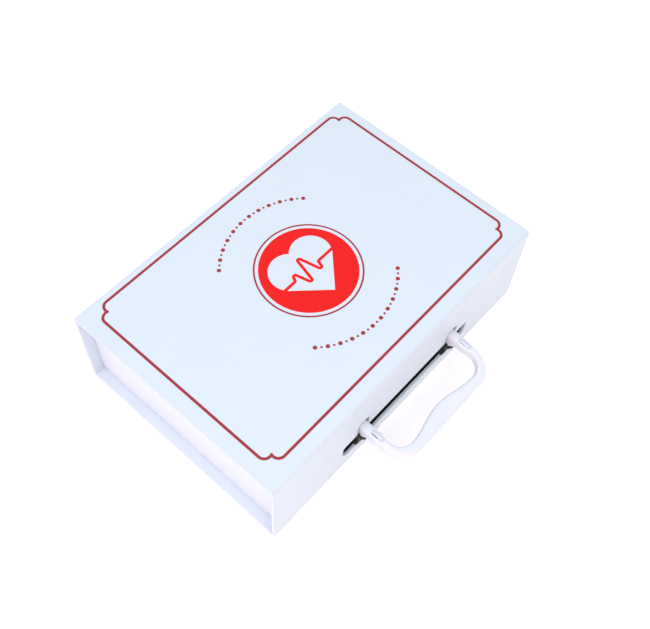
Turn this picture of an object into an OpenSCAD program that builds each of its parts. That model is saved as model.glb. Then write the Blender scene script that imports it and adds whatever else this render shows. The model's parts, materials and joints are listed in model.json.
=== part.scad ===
// Toy doctor case: a rigid book-style carton. One paper-covered cover of four boards
// (base, spine, lid and closing flap) folds round a paper-covered tray that is set back
// at both ends. Magnets in the tray's front wall hold the flap, and a moulded handle swings
// in the flap's long die-cut slot. Millimetres. X runs along the case, the handle is
// towards -Y, +Z is up, and the origin is the middle of the base's underside.

/* [Case] */
// Length along X
case_l = 294; // [260:1:340]
// Depth from the flap's face to the spine's face
case_d = 200; // [180:1:240]
// Height
case_h = 89; // [80:1:110]
// How far each end wall of the tray stands in from the cover's short edges
tray_setback = 9; // [6:0.5:14]

/* [Sheet] */
// Thickness of every greyboard
board_t = 2; // [1.8:0.1:2.4]
// Thickness of the covering paper and of the lining paper
paper_t = 0.3; // [0.2:0.05:0.4]
// Width of the covering paper folded round each free edge
turn_in = 12; // [8:1:16]
// Width of the covering paper folded down inside the tray's rim
rim_turn = 15; // [10:1:20]

/* [Clearances] */
// Between the tray's rim and the closed lid
lid_gap = 0.3; // [0.2:0.1:0.6]
// Between the tray's front wall and the closed flap
flap_gap = 0.5; // [0.3:0.1:0.8]
// Between the flap's lower edge and the table
flap_lift = 0.5; // [0.3:0.1:1]

/* [Slot in the flap] */
// Length from end to end
slot_l = 151; // [148:0.5:160]
// Height of the lower edge above the table
slot_z = 13.8; // [13.4:0.1:15]
// Height of the long middle
slot_h = 20; // [19:0.2:22]
// How much higher the slot is round each leg of the handle
slot_rise = 15.2; // [14.6:0.2:17]
// Gap between each leg of the handle and the sides of the raised part round it
leg_clear = 1.8; // [1.2:0.1:3]
// Radius of the lower corners
slot_low_r = 10; // [6:0.5:11]
// Radius of the upper corners
slot_top_r = 3; // [2:0.5:4]

/* [Window in the tray] */
// Length
window_l = 172; // [164:1:176]
// Height
window_h = 54; // [50:1:60]
// Height of the lower edge above the table
window_z = 5.6; // [5.4:0.1:6]
// Corner radius
window_r = 3; // [2:0.5:6]

/* [Magnets] */
// Diameter
magnet_d = 12; // [8:0.5:14]
// Thickness
magnet_t = 1.5; // [1:0.1:1.6]
// Height above the table
magnet_z = 20; // [16:1:30]

/* [Handle] */
// Distance between the two legs
handle_pitch = 106.6; // [105:0.2:109]
// How far the slot and the handle sit to the right of the middle
handle_shift = 4.2; // [0:0.1:6]
// Reach from the pins to the outside of the grip
handle_reach = 42.8; // [40:0.2:60]
// Outer radius of the two bends
handle_bend_r = 21; // [18:1:26]
// How far the handle hangs below level, in degrees
handle_droop = 8; // [6:1:10]
// Height of the middle of the legs above the pins
leg_rise = 9.9; // [9:0.1:10.5]
// How far the legs reach in behind the pins
leg_back = 4; // [1:0.5:5]
// Width of each leg at its foot
leg_foot_w = 8.6; // [7.5:0.1:9.5]
// Length of each wide foot, from its pin
leg_foot_l = 13; // [11:0.5:15]
// Width of each leg where it meets its bend
leg_w = 6.2; // [6:0.1:7.4]
// Thickness of the legs
leg_t = 10; // [9:0.2:10.4]
// Width of the grip beside its bends
grip_end_w = 9; // [8.5:0.5:12]
// Width of the grip in the middle
grip_w = 14.5; // [12:0.5:18]
// Thickness of the grip in the middle
grip_t = 9; // [7:0.5:11]
// Length of the moulded pocket in each leg
pocket_l = 11; // [9:0.5:12]
// Depth of the moulded pocket
pocket_d = 3; // [2:0.5:4]

/* [Handle bearings] */
// Height of the pins above the table
pin_z = 29.4; // [29:0.1:30]
// How far the pins lie behind the flap's face
pin_inset = 1; // [0.8:0.1:1.4]
// Diameter of each steel pin
pin_d = 2.2; // [2:0.1:2.5]
// Radial clearance of the pin in the handle's knuckle
pin_run = 0.06; // [0.03:0.01:0.1]
// Radial clearance of the pin in the bracket's ears
pin_fit = 0.02; // [0.01:0.01:0.05]
// Radius of the handle's knuckle and of the bracket's ears
knuckle_r = 2.6; // [2.4:0.1:2.8]
// Width of the knuckle
knuckle_w = 7.6; // [7:0.1:8]
// Thickness of each ear of a bracket
ear_t = 2.4; // [2:0.1:3]
// Gap between the knuckle and each ear
ear_gap = 0.3; // [0.2:0.05:0.5]
// Thickness of the bracket's plate, which is glued behind the flap under the slot
plate_t = 2; // [1.6:0.1:2.4]
// Gap between the handle at rest and the nose that holds it up
rest_gap = 0.15; // [0.1:0.05:0.3]

/* [Hidden] */

$fn = 64;
eps = 0.01;

paper_white = [0.95, 0.96, 0.98];
paper_black = [0.05, 0.05, 0.06];
board_grey = [0.62, 0.58, 0.52];
handle_white = [0.93, 0.93, 0.96];
bracket_black = [0.10, 0.10, 0.11];
nickel = [0.74, 0.73, 0.70];
kraft = [0.72, 0.58, 0.42];

// A covered panel is board between covering paper and lining paper
panel_t = board_t + 2 * paper_t;
half_l = case_l / 2;
half_d = case_d / 2;
// The covering paper rounds each crease about the boards' inner corner
crease_y = half_d - panel_t;
lid_z = case_h - panel_t;
base_front_y = -crease_y + flap_gap;

// Outside of the tray, and the inner faces of its boards
tray_x = half_l - tray_setback;
tray_y0 = base_front_y;
tray_y1 = crease_y;
tray_z0 = panel_t;
tray_z1 = lid_z - lid_gap;
wall_x = tray_x - paper_t - board_t;
wall_y0 = tray_y0 + paper_t + board_t;
wall_y1 = tray_y1 - paper_t - board_t;
wall_z0 = tray_z0 + paper_t;
wall_z1 = tray_z1 - paper_t;
floor_z = wall_z0 + board_t;
rim_z = tray_z1 - rim_turn;

tape_w = 14;
tape_t = 0.15;
// The magnets sit midway between the window and the tapes
magnet_x = (handle_shift + window_l / 2 + tray_x - paper_t - tape_w) / 2;
magnet_slack = 0.1;
slot_fillet_r = 2.4;
lobe_in = (handle_pitch - leg_foot_w) / 2 - leg_clear;
lobe_out = (handle_pitch + leg_foot_w) / 2 + leg_clear;
pin_y = -half_d + pin_inset;
ear_x = knuckle_w / 2 + ear_gap;
// Everything on a bracket is measured from its pin
plate_y = panel_t - pin_inset;
plate_top = slot_z - 0.4 - pin_z;
plate_low = window_z + 0.4 - pin_z;
sill_top = slot_z + 0.3 - pin_z;
plate_side = 3;
plate_l = 2 * (ear_x + ear_t + plate_side);
// How far up the ears lean back over the sill, and how far out each foot's front reaches
ear_lean = 7;
toe_v = 7;

// A box given by its span along each axis
module slab(x, y, z)
    translate([x[0], y[0], z[0]]) cube([x[1] - x[0], y[1] - y[0], z[1] - z[0]]);

// A profile drawn in Y and Z, run along X
module along_x(l)
    rotate([90, 0, 90]) translate([0, 0, -l / 2]) linear_extrude(l) children();

// A profile drawn in X and Z, run along Y
module along_y(y)
    translate([0, y[1], 0]) rotate([90, 0, 0]) linear_extrude(y[1] - y[0]) children();

// Half of the paper round a crease: an eighth of a ring about the boards' inner corner
module crease_profile(y, z, from_angle)
    translate([y, z]) intersection() {
        difference() {
            circle(panel_t);
            circle(panel_t - paper_t);
        }
        polygon([[0, 0],
            2 * panel_t * [cos(from_angle), sin(from_angle)],
            2 * panel_t * [cos(from_angle + 45), sin(from_angle + 45)]]);
    }

// A rectangle spanning x and z, with its lower and its upper corners rounded
module rounded(x, z, low_r, top_r) {
    l = x[1] - x[0];
    translate([x[0], z[0] + low_r]) square([l, z[1] - z[0] - low_r - top_r]);
    translate([x[0] + low_r, z[0]]) square([l - 2 * low_r, low_r + eps]);
    translate([x[0] + top_r, z[1] - top_r - eps]) square([l - 2 * top_r, top_r + eps]);
    for (side = [0, 1]) {
        translate([x[side] + (1 - 2 * side) * low_r, z[0] + low_r]) circle(low_r);
        translate([x[side] + (1 - 2 * side) * top_r, z[1] - top_r]) circle(top_r);
    }
}

// Outline of the flap's slot, grown by g all round: a long bar that is higher round each
// of the handle's legs, so that they can swing up
module slot_outline(g = 0) {
    half = slot_l / 2 + g;
    bar_z = slot_z + slot_h + g;
    fillet_r = slot_fillet_r - g;
    translate([handle_shift, 0]) {
        rounded([-half, half], [slot_z - g, bar_z], slot_low_r + g, slot_top_r + g);
        for (side = [-1, 1]) scale([side, 1]) {
            rounded([lobe_in - g, lobe_out + g], [slot_z - g, bar_z + slot_rise],
                0.5, slot_top_r + g);
            for (edge = [[lobe_in - g, 1], [lobe_out + g, -1]])
                translate([edge[0], bar_z]) scale([edge[1], 1]) difference() {
                    translate([-fillet_r, -eps]) square(fillet_r + 2 * eps);
                    translate([-fillet_r, fillet_r]) circle(fillet_r);
                }
        }
    }
}

// Outline of the tray's window, grown by g all round
module window_outline(g = 0)
    translate([handle_shift, 0])
        rounded([-window_l / 2 - g, window_l / 2 + g],
            [window_z - g, window_z + window_h + g], window_r + g, window_r + g);

// Blind pocket for a magnet, bored along Y from the face at y
module magnet_pocket(side, y, dir)
    translate([side * magnet_x, y, magnet_z]) rotate([-90 * dir, 0, 0])
        translate([0, 0, -eps])
            cylinder(d = magnet_d + 2 * magnet_slack, h = magnet_t + magnet_slack + eps);

module magnet(side, y, dir)
    color(nickel) translate([side * magnet_x, y, magnet_z]) rotate([-90 * dir, 0, 0])
        cylinder(d = magnet_d, h = magnet_t);

module base_board()
    color(board_grey) slab([-half_l + paper_t, half_l - paper_t],
        [base_front_y + paper_t, crease_y], [paper_t, paper_t + board_t]);

// The base's covering paper: underside, front edge, both ends and the turn-ins
module base_wrap()
    color(paper_white) {
        difference() {
            slab([-half_l, half_l], [base_front_y, crease_y], [0, panel_t]);
            slab([-half_l + paper_t, half_l - paper_t],
                [base_front_y + paper_t, crease_y + 1], [paper_t, panel_t - paper_t]);
            slab([-half_l + turn_in, half_l - turn_in],
                [base_front_y + turn_in, crease_y + 1], [panel_t - 2 * paper_t, panel_t + 1]);
        }
        along_x(case_l) crease_profile(crease_y, panel_t, -90);
    }

module base_liner()
    color(paper_white) slab([-half_l + turn_in, half_l - turn_in],
        [base_front_y + turn_in, crease_y], [panel_t - paper_t, panel_t]);

module spine_board()
    color(board_grey) slab([-half_l + paper_t, half_l - paper_t],
        [crease_y + paper_t, half_d - paper_t], [panel_t, lid_z]);

// The spine's covering paper, with its half of the crease below and of the one above
module spine_wrap()
    color(paper_white) {
        difference() {
            slab([-half_l, half_l], [crease_y, half_d], [panel_t, lid_z]);
            slab([-half_l + paper_t, half_l - paper_t],
                [crease_y + paper_t, half_d - paper_t], [panel_t - 1, lid_z + 1]);
            slab([-half_l + turn_in, half_l - turn_in],
                [crease_y - 1, crease_y + 2 * paper_t], [panel_t - 1, lid_z + 1]);
        }
        along_x(case_l) {
            crease_profile(crease_y, panel_t, -45);
            crease_profile(crease_y, lid_z, 0);
        }
    }

module spine_liner()
    color(paper_white) slab([-half_l + turn_in, half_l - turn_in],
        [crease_y, crease_y + paper_t], [panel_t, lid_z]);

module tray_floor_board()
    color(board_grey) slab([-wall_x, wall_x], [wall_y0, wall_y1], [wall_z0, floor_z]);

// The rebates in the boards' outer corners that take the paper tapes
module tape_rebate(grow = 0)
    for (sx = [-1, 1], y = [tray_y0 + paper_t, tray_y1 - paper_t]) {
        out_x = tray_x - paper_t;
        in_y = y < 0 ? [y - grow, y + tape_w] : [y - tape_w, y + grow];
        skin_y = y < 0 ? [y - grow, y + tape_t] : [y - tape_t, y + grow];
        mirror([sx < 0 ? 1 : 0, 0, 0]) {
            slab([out_x - tape_t, out_x + grow], in_y, [wall_z0 - grow, wall_z1 + grow]);
            slab([out_x - tape_w, out_x + grow], skin_y, [wall_z0 - grow, wall_z1 + grow]);
        }
    }

// The front wall's board, with its window and a pocket for each magnet
module tray_front_board()
    color(board_grey) difference() {
        slab([-tray_x + paper_t, tray_x - paper_t],
            [tray_y0 + paper_t, wall_y0], [wall_z0, wall_z1]);
        along_y([tray_y0 - 1, wall_y0 + 1]) window_outline(paper_t);
        for (side = [-1, 1]) magnet_pocket(side, tray_y0 + paper_t, 1);
        tape_rebate(1);
    }

module tray_rear_board()
    color(board_grey) difference() {
        slab([-tray_x + paper_t, tray_x - paper_t],
            [wall_y1, tray_y1 - paper_t], [wall_z0, wall_z1]);
        tape_rebate(1);
    }

module tray_side_board(side)
    color(board_grey) difference() {
        mirror([side < 0 ? 1 : 0, 0, 0])
            slab([wall_x, tray_x - paper_t], [wall_y0, wall_y1], [wall_z0, wall_z1]);
        tape_rebate(1);
    }

module tray_left_board() tray_side_board(-1);

module tray_right_board() tray_side_board(1);

module tray_corner_tapes()
    color(kraft) tape_rebate();

// The tray's covering paper: round the walls, over the rim, down inside it and in under
// the floor
module tray_wrap()
    color(paper_white) {
        difference() {
            slab([-tray_x, tray_x], [tray_y0, tray_y1], [tray_z0, tray_z1]);
            slab([-tray_x + paper_t, tray_x - paper_t],
                [tray_y0 + paper_t, tray_y1 - paper_t], [wall_z0, wall_z1]);
            slab([-wall_x + paper_t, wall_x - paper_t],
                [wall_y0 + paper_t, wall_y1 - paper_t], [wall_z1 - 1, tray_z1 + 1]);
            slab([-tray_x + turn_in, tray_x - turn_in],
                [tray_y0 + turn_in, tray_y1 - turn_in], [tray_z0 - 1, wall_z0 + 1]);
            along_y([tray_y0 - 1, tray_y0 + 1]) window_outline(paper_t);
        }
        difference() {
            slab([-wall_x, wall_x], [wall_y0, wall_y1], [rim_z, wall_z1]);
            slab([-wall_x + paper_t, wall_x - paper_t],
                [wall_y0 + paper_t, wall_y1 - paper_t], [rim_z - 1, wall_z1 + 1]);
        }
    }

// The black lining of the walls, from the floor up to the turned-down rim, and turned out
// through the window
module tray_liner()
    color(paper_black) {
        difference() {
            slab([-wall_x, wall_x], [wall_y0, wall_y1], [floor_z, rim_z]);
            slab([-wall_x + paper_t, wall_x - paper_t],
                [wall_y0 + paper_t, wall_y1 - paper_t], [floor_z - 1, rim_z + 1]);
            along_y([wall_y0 - 1, wall_y0 + 1]) window_outline();
        }
        along_y([tray_y0, wall_y0 + paper_t]) difference() {
            window_outline(paper_t);
            window_outline();
        }
    }

module tray_floor_liner()
    color(paper_black) slab([-wall_x + paper_t, wall_x - paper_t],
        [wall_y0 + paper_t, wall_y1 - paper_t], [floor_z, floor_z + paper_t]);

module tray_magnet_left() magnet(-1, tray_y0 + paper_t, 1);

module tray_magnet_right() magnet(1, tray_y0 + paper_t, 1);

module lid_board()
    color(board_grey) slab([-half_l + paper_t, half_l - paper_t],
        [-crease_y, crease_y], [lid_z + paper_t, case_h - paper_t]);

// The lid's covering paper, with its half of the crease at the spine and at the flap
module lid_wrap()
    color(paper_white) {
        difference() {
            slab([-half_l, half_l], [-crease_y, crease_y], [lid_z, case_h]);
            slab([-half_l + paper_t, half_l - paper_t],
                [-crease_y - 1, crease_y + 1], [lid_z + paper_t, case_h - paper_t]);
            slab([-half_l + turn_in, half_l - turn_in],
                [-crease_y - 1, crease_y + 1], [lid_z - 1, lid_z + 2 * paper_t]);
        }
        along_x(case_l) {
            crease_profile(crease_y, lid_z, 45);
            crease_profile(-crease_y, lid_z, 90);
        }
    }

module lid_liner()
    color(paper_white) slab([-half_l + turn_in, half_l - turn_in],
        [-crease_y, crease_y], [lid_z, lid_z + paper_t]);

// The flap's board, with the slot and a pocket for each magnet
module flap_board()
    color(board_grey) difference() {
        slab([-half_l + paper_t, half_l - paper_t],
            [-half_d + paper_t, -crease_y - paper_t], [flap_lift + paper_t, lid_z]);
        along_y([-half_d - 1, -crease_y + 1]) slot_outline(paper_t);
        for (side = [-1, 1]) magnet_pocket(side, -crease_y - paper_t, -1);
    }

// The flap's covering paper: face, both ends, lower edge, turn-ins, half of the crease
// and a sleeve through the slot
module flap_wrap()
    color(paper_white) {
        difference() {
            slab([-half_l, half_l], [-half_d, -crease_y], [flap_lift, lid_z]);
            slab([-half_l + paper_t, half_l - paper_t],
                [-half_d + paper_t, -crease_y - paper_t], [flap_lift + paper_t, lid_z + 1]);
            slab([-half_l + turn_in, half_l - turn_in],
                [-crease_y - 2 * paper_t, -crease_y + 1], [flap_lift + turn_in, lid_z + 1]);
            along_y([-half_d - 1, -half_d + 1]) slot_outline();
        }
        along_y([-half_d, -crease_y - paper_t]) difference() {
            slot_outline(paper_t);
            slot_outline();
        }
        along_x(case_l) crease_profile(-crease_y, lid_z, 135);
    }

module flap_liner()
    color(paper_white) difference() {
        slab([-half_l + turn_in, half_l - turn_in],
            [-crease_y - paper_t, -crease_y], [flap_lift + turn_in, lid_z]);
        along_y([-half_d, -crease_y + 1]) slot_outline();
    }

module flap_magnet_left() magnet(-1, -crease_y - paper_t, -1);

module flap_magnet_right() magnet(1, -crease_y - paper_t, -1);

// Moves what is drawn about a handle pin to the left or right foot
module at_foot(side)
    translate([handle_shift + side * handle_pitch / 2, pin_y, pin_z]) children();

// The front of each foot, as two points [v, w]: v runs outward from the pin along the
// handle, and w is square to it
foot_front = [[knuckle_r, 0], [toe_v, leg_rise - leg_t / 2 + 0.3]];

// A point t of the way along that front and g clear of it
function near_front(t, g) =
    let (a = foot_front[0], b = foot_front[1], d = (b - a) / norm(b - a))
    a + t * (b - a) + g * [d[1], -d[0]];

// A moulded bracket: a plate glued behind the flap under the slot, two ears that rise
// through the slot and hold the pin, and between them a web whose nose holds the handle up
module handle_bracket(side)
    color(bracket_black) at_foot(side) {
        back = plate_y + plate_t;
        web_top = -knuckle_r - 0.6;
        slab([-plate_l / 2, plate_l / 2], [plate_y, back], [plate_low, plate_top]);
        for (s = [-1, 1]) translate([s * (ear_x + ear_t / 2), 0, 0])
            along_x(ear_t) difference() {
                union() {
                    circle(knuckle_r);
                    polygon([[-knuckle_r, 0], [knuckle_r, 0], [back, -4], [back, plate_low],
                        [plate_y, plate_low], [plate_y, sill_top], [-0.6, sill_top],
                        [-knuckle_r, sill_top + ear_lean]]);
                }
                circle(pin_d / 2 + pin_fit);
            }
        along_x(2 * ear_x + 0.2) {
            polygon([[back, plate_low], [back, web_top], [-knuckle_r + 0.4, web_top],
                [-knuckle_r, sill_top + ear_lean], [-0.6, sill_top], [plate_y, sill_top],
                [plate_y, plate_low]]);
            rotate(handle_droop) mirror([1, 0])
                polygon([near_front(0.15, rest_gap), near_front(0.6, rest_gap),
                    near_front(0.6, 1.8), [2.9, web_top - 2.8], [2.3, web_top - 0.4]]);
        }
    }

module handle_bracket_left() handle_bracket(-1);

module handle_bracket_right() handle_bracket(1);

module handle_pin(side)
    color(nickel) at_foot(side)
        rotate([0, 90, 0]) cylinder(d = pin_d, h = 2 * (ear_x + ear_t), center = true);

module handle_pin_left() handle_pin(-1);

module handle_pin_right() handle_pin(1);

// The bow is drawn flat, with u along X and v outward from the pins' line.
// A smooth step from 0 to 1 as t goes from 0 to 1
function ease(t) = let (c = min(max(t, 0), 1)) c * c * (3 - 2 * c);

bend_mid_r = handle_bend_r - grip_end_w / 2;
leg_u = handle_pitch / 2;
leg_v = handle_reach - handle_bend_r;
leg_steps = 8;
bend_steps = 12;
grip_steps = 8;
ring_sides = 28;
// The section is a superellipse: 2 is an ellipse, and higher is squarer
section_power = 3.2;

// Right half of the handle as stations [u, v, heading, width, thickness]
leg_stations = [for (i = [0:leg_steps - 1])
    let (v = -leg_back + (leg_v + leg_back) * i / leg_steps,
        taper = ease((v - leg_foot_l) / (leg_v - leg_foot_l)))
    [leg_u, v, 90, leg_foot_w + (leg_w - leg_foot_w) * taper, leg_t]];
bend_stations = [for (i = [0:bend_steps - 1])
    let (t = i / bend_steps, a = 90 * t)
    [leg_u - bend_mid_r * (1 - cos(a)), leg_v + bend_mid_r * sin(a), 90 + a,
        leg_w + (grip_end_w - leg_w) * t, leg_t]];
// The grip widens inwards and keeps its outer side straight
grip_stations = [for (i = [0:grip_steps])
    let (t = i / grip_steps, swell = ease(t), w = grip_end_w + (grip_w - grip_end_w) * swell)
    [(leg_u - bend_mid_r) * (1 - t), handle_reach - w / 2, 180, w,
        leg_t + (grip_t - leg_t) * swell]];
half_stations = concat(leg_stations, bend_stations, grip_stations);
half_n = len(half_stations);
stations = [for (i = [0:2 * half_n - 2])
    i < half_n ? half_stations[i]
        : let (s = half_stations[2 * half_n - 2 - i]) [-s[0], s[1], 360 - s[2], s[3], s[4]]];

function power(x) = sign(x) * pow(abs(x), 2 / section_power);

function ring(s) = [for (j = [0:ring_sides - 1])
    let (a = 360 * j / ring_sides,
        across = s[3] / 2 * power(cos(a)), up = s[4] / 2 * power(sin(a)))
    [s[0] + across * sin(s[2]), s[1] - across * cos(s[2]), leg_rise + up]];

module handle_sweep() {
    n = len(stations);
    points = [for (s = stations) each ring(s)];
    sides = [for (i = [0:n - 2], j = [0:ring_sides - 1])
        let (k = (j + 1) % ring_sides, a = i * ring_sides, b = a + ring_sides)
        each [[a + j, a + k, b + k], [a + j, b + k, b + j]]];
    ends = [[for (j = [ring_sides - 1:-1:0]) j],
        [for (j = [0:ring_sides - 1]) (n - 1) * ring_sides + j]];
    polyhedron(points, concat(sides, ends));
}

// Each foot reaches down behind its leg to the knuckle on the pin
module foot() {
    rotate([90, 0, 90]) translate([0, 0, -knuckle_w / 2]) linear_extrude(knuckle_w) {
        circle(knuckle_r);
        polygon([[-knuckle_r + 0.05, 0.5], [-leg_back + 0.2, leg_rise + leg_t / 2 - 1.4],
            [5, leg_rise], foot_front[1], foot_front[0]]);
    }
}

// The pocket that keeps the moulded leg's wall even, with a slit through its floor
module leg_pocket() {
    pocket_x = leg_foot_w / 4;
    pocket_v = 7;
    corner = 1;
    translate([0, 0, leg_rise + leg_t / 2 - pocket_d]) linear_extrude(pocket_d + 1)
        rounded([-pocket_x, pocket_x], [pocket_v, pocket_v + pocket_l], corner, corner);
    translate([-pocket_x + 0.4, pocket_v + 1, 0])
        cube([1.6, pocket_l / 2, leg_rise + leg_t]);
}

// The moulded handle: a swept bow whose feet are bored for the pins
module handle_bow()
    color(handle_white) translate([handle_shift, pin_y, pin_z])
        rotate([handle_droop, 0, 0]) mirror([0, 1, 0]) difference() {
            union() {
                handle_sweep();
                for (s = [-1, 1]) translate([s * leg_u, 0, 0]) foot();
            }
            for (s = [-1, 1]) translate([s * leg_u, 0, 0]) {
                rotate([0, 90, 0])
                    cylinder(d = pin_d + 2 * pin_run, h = 2 * knuckle_w, center = true);
                leg_pocket();
            }
        }

base_board();
base_wrap();
base_liner();
spine_board();
spine_wrap();
spine_liner();
tray_floor_board();
tray_front_board();
tray_rear_board();
tray_left_board();
tray_right_board();
tray_corner_tapes();
tray_wrap();
tray_liner();
tray_floor_liner();
tray_magnet_left();
tray_magnet_right();
lid_board();
lid_wrap();
lid_liner();
flap_board();
flap_wrap();
flap_liner();
flap_magnet_left();
flap_magnet_right();
handle_bracket_left();
handle_bracket_right();
handle_pin_left();
handle_pin_right();
handle_bow();
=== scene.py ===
"""Dresses the toy doctor case: paper-covered boards, a moulded handle and a printed lid."""
import json
import math

import bmesh
import bpy
import numpy as np
from mathutils import Euler, Matrix, Vector


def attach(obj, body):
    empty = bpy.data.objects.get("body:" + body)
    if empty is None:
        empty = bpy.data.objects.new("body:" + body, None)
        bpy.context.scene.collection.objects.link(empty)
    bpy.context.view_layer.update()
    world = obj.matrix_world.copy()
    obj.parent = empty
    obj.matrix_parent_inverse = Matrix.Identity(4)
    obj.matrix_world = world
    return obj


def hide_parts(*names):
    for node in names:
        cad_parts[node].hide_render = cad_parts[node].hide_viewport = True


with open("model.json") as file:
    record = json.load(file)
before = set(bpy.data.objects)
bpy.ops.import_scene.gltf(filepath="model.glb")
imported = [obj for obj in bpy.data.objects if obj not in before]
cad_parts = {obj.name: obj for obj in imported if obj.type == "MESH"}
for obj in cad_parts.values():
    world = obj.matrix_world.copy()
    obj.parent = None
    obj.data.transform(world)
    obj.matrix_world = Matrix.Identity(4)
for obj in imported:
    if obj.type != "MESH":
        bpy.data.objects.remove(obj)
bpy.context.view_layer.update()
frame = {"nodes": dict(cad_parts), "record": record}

# Lengths are millimetres, as in the part's source, until a mesh is made
MM = 0.001

CASE_HALF_L = 147.0
CASE_H = 89.0
PANEL_T = 2.6
PAPER_T = 0.3
CREASE_Y = 97.4
LID_Z = 86.4
BASE_FRONT_Y = -96.9
FLAP_LIFT = 0.5
# The lining paper stands this much proud of the covering paper beside it
PROUD = 0.02
# Radii of the covering paper's turned edges: round a board, in the slot, and at the
# tray's corners. A larger one would let the board's own corner through the paper
EDGE_R, SLOT_EDGE_R, TRAY_R = 0.7, 0.95, 1.0

TRAY_X, TRAY_Y0, TRAY_Y1 = 138.0, -96.9, 97.4
TRAY_Z0, TRAY_Z1, RIM_Z = 2.6, 86.1, 71.1
WALL_T = 2.3

# The slot, the window behind it and the handle sit this far right of the middle
SHIFT = 4.2
SLOT_HALF, SLOT_Z, SLOT_H, SLOT_RISE = 75.5, 13.8, 20.0, 15.2
LOBE_IN, LOBE_OUT = 47.2, 59.4
SLOT_LOW_R, SLOT_TOP_R, SLOT_FILLET_R = 10.0, 3.0, 2.4
WINDOW_HALF, WINDOW_Z, WINDOW_H, WINDOW_R = 86.0, 5.6, 54.0, 3.0

# The handle. u runs along the case, v outward from the pins, w up
PIN_Y, PIN_Z, PIN_D, PIN_RUN = -99.0, 29.4, 2.2, 0.06
DROOP = math.radians(8)
LEG_U, LEG_V0, LEG_V, FOOT_V = 53.3, -4.0, 21.8, 13.0
BEND_R, REACH, LEG_RISE = 16.5, 42.8, 9.9
FOOT_W, LEG_W, GRIP_END_W, GRIP_W = 8.6, 6.2, 9.0, 14.5
LEG_T, GRIP_T = 10.0, 9.0
SECTION_POWER = 3.2
POCKET_HALF, POCKET_V0, POCKET_V1, POCKET_DEEP = 2.15, 7.0, 18.0, 3.0
POCKET_CORNER, POCKET_WALL = 1.0, 0.4
SLIT_U0, SLIT_U1, SLIT_V0, SLIT_V1 = -1.75, -0.15, 8.0, 13.5
KNUCKLE_R, KNUCKLE_HALF, KNUCKLE_EDGE_R = 2.6, 3.8, 0.35
BORE_R = PIN_D / 2 + PIN_RUN

# The print. MARK is the roundel's middle on the lid
INK_LOW, INK_T = -0.02, 0.03
MARK = np.array([1.8, 3.1])
ROUNDEL_R, HEART_SIDE, HEART_DROP, PULSE_W, PULSE_BEND_R = 38.5, 33.5, 3, 2.5, 1.5
RING_R, RING_W = 41.7, 1.4
DOTS_AT_R, DOTS_SPAN, DOTS, DOT_RADII = 67.8, 44, 23, (1.7, 0.95)
BORDER_X, BORDER_Y, BORDER_W = (-133.5, 137.7), (-86.4, 92.8), 2.2
SHOULDER_R, SHOULDER_H, NOTCH_REACH = 5.5, 12.36, 0.35

# Flat faces have a narrow row of this width beside a rounded edge, to stay flat in shade
EDGE_ROW, SLOT_EDGE_ROW = 0.4, 0.3
# Points nearer than this, in metres, are one
MERGED = 3e-7
# An edge that turns by this angle, in radians, is rubbed in full
FULL_RUB = 0.12
# Slack for comparing lengths that are equal but for rounding
TINY = 1e-6


# ---------------------------------------------------------------- mesh helpers
def grid_faces(rows, cols, round_rows=False, round_cols=False):
    """Quads between neighbours on a grid of rows by cols points, closed round where asked."""
    i = np.arange(rows if round_rows else rows - 1)
    j = np.arange(cols if round_cols else cols - 1)
    i, j = (a.ravel() for a in np.meshgrid(i, j, indexing="ij"))
    k, m = (i + 1) % rows, (j + 1) % cols
    return np.stack([i * cols + j, i * cols + m, k * cols + m, k * cols + j], 1)


def grid_part(points, round_rows=False, round_cols=False, caps=()):
    """A grid of points with its quads, and a flat face over each row named in caps."""
    rows, cols = points.shape[:2]
    faces = grid_faces(rows, cols, round_rows, round_cols).tolist()
    faces += [[r % rows * cols + j for j in range(cols)] for r in caps]
    return points.reshape(-1, 3), faces


def make_piece(name, parts, body, finish, stands_for=(), smooth=40):
    """Joins parts, each points in mm and faces, closes their seams, turns every face
    outwards and lets the piece ride on its body."""
    points, faces, start = [], [], 0
    for p, f in parts:
        points.append(p)
        faces += [[i + start for i in face] for face in f]
        start += len(p)
    mesh = bpy.data.meshes.new(name)
    mesh.from_pydata((np.concatenate(points) * MM).tolist(), [], faces)
    bm = bmesh.new()
    bm.from_mesh(mesh)
    bmesh.ops.remove_doubles(bm, verts=bm.verts, dist=MERGED)
    bmesh.ops.recalc_face_normals(bm, faces=bm.faces)
    turned = np.array([max([e.calc_face_angle(0.0) for e in v.link_edges] or [0.0])
                       for v in bm.verts])
    bm.to_mesh(mesh)
    bm.free()
    # Where faces turn away from each other, the finish is rubbed
    rub = mesh.attributes.new("rub", "FLOAT", "POINT")
    rub.data.foreach_set("value", np.clip(turned / FULL_RUB, 0, 1))
    mesh.shade_smooth()
    mesh.set_sharp_from_angle(angle=math.radians(smooth))
    mesh.materials.append(finish)
    piece = bpy.data.objects.new(name, mesh)
    bpy.context.scene.collection.objects.link(piece)
    if stands_for:
        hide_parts(*stands_for)
    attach(piece, body)
    return piece


def spread(low, high, step, edge=EDGE_ROW):
    """Steps from low to high, with one more close to each end to keep the shading flat."""
    n = max(2, int(round((high - low - 2 * edge) / step)) + 1)
    return np.concatenate([[low], np.linspace(low + edge, high - edge, n), [high]])


def arc(a0, a1, n):
    """n + 1 angles from a0 to a1, given in degrees, as unit vectors."""
    a = np.radians(np.linspace(a0, a1, n + 1))
    return np.stack([np.cos(a), np.sin(a)], 1)


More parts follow.
